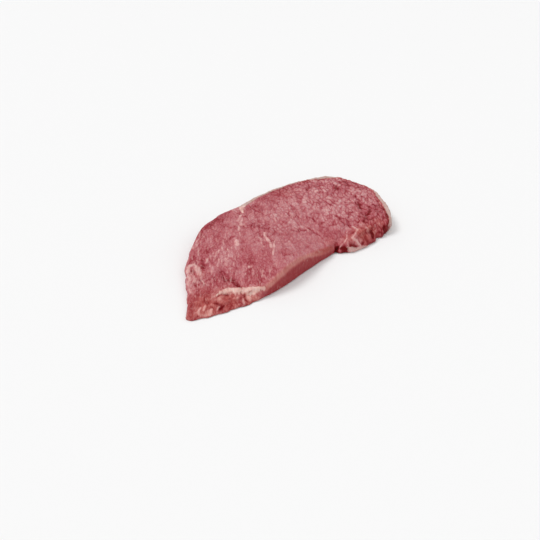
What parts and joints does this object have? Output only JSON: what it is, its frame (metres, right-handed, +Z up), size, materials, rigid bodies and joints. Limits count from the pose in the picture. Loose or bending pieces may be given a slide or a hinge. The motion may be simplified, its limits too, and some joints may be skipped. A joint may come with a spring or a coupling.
{
  "type": "raw boneless beef steak",
  "caption": "Raw boneless beef steak lying flat, kidney-shaped, with a thin pointed tail, a blunt rounded end, a straight trimmed edge and a thin rim of fat.",
  "frame": {"origin": "bottom centre of the steak's bounding box, on the flat face that it rests on", "axes": "+X along the steak from the thin tail to the blunt end, +Y from the straight trimmed edge to the curved edge with the fat rim, +Z up through its thickness"},
  "size_m": [0.219, 0.099, 0.015],
  "materials": {
    "meat": "moist raw red meat with fine marbling, and cream fat along the curved edge"
  },
  "bodies": {
    "root": {"steak": "meat"}
  },
  "joints": []
}
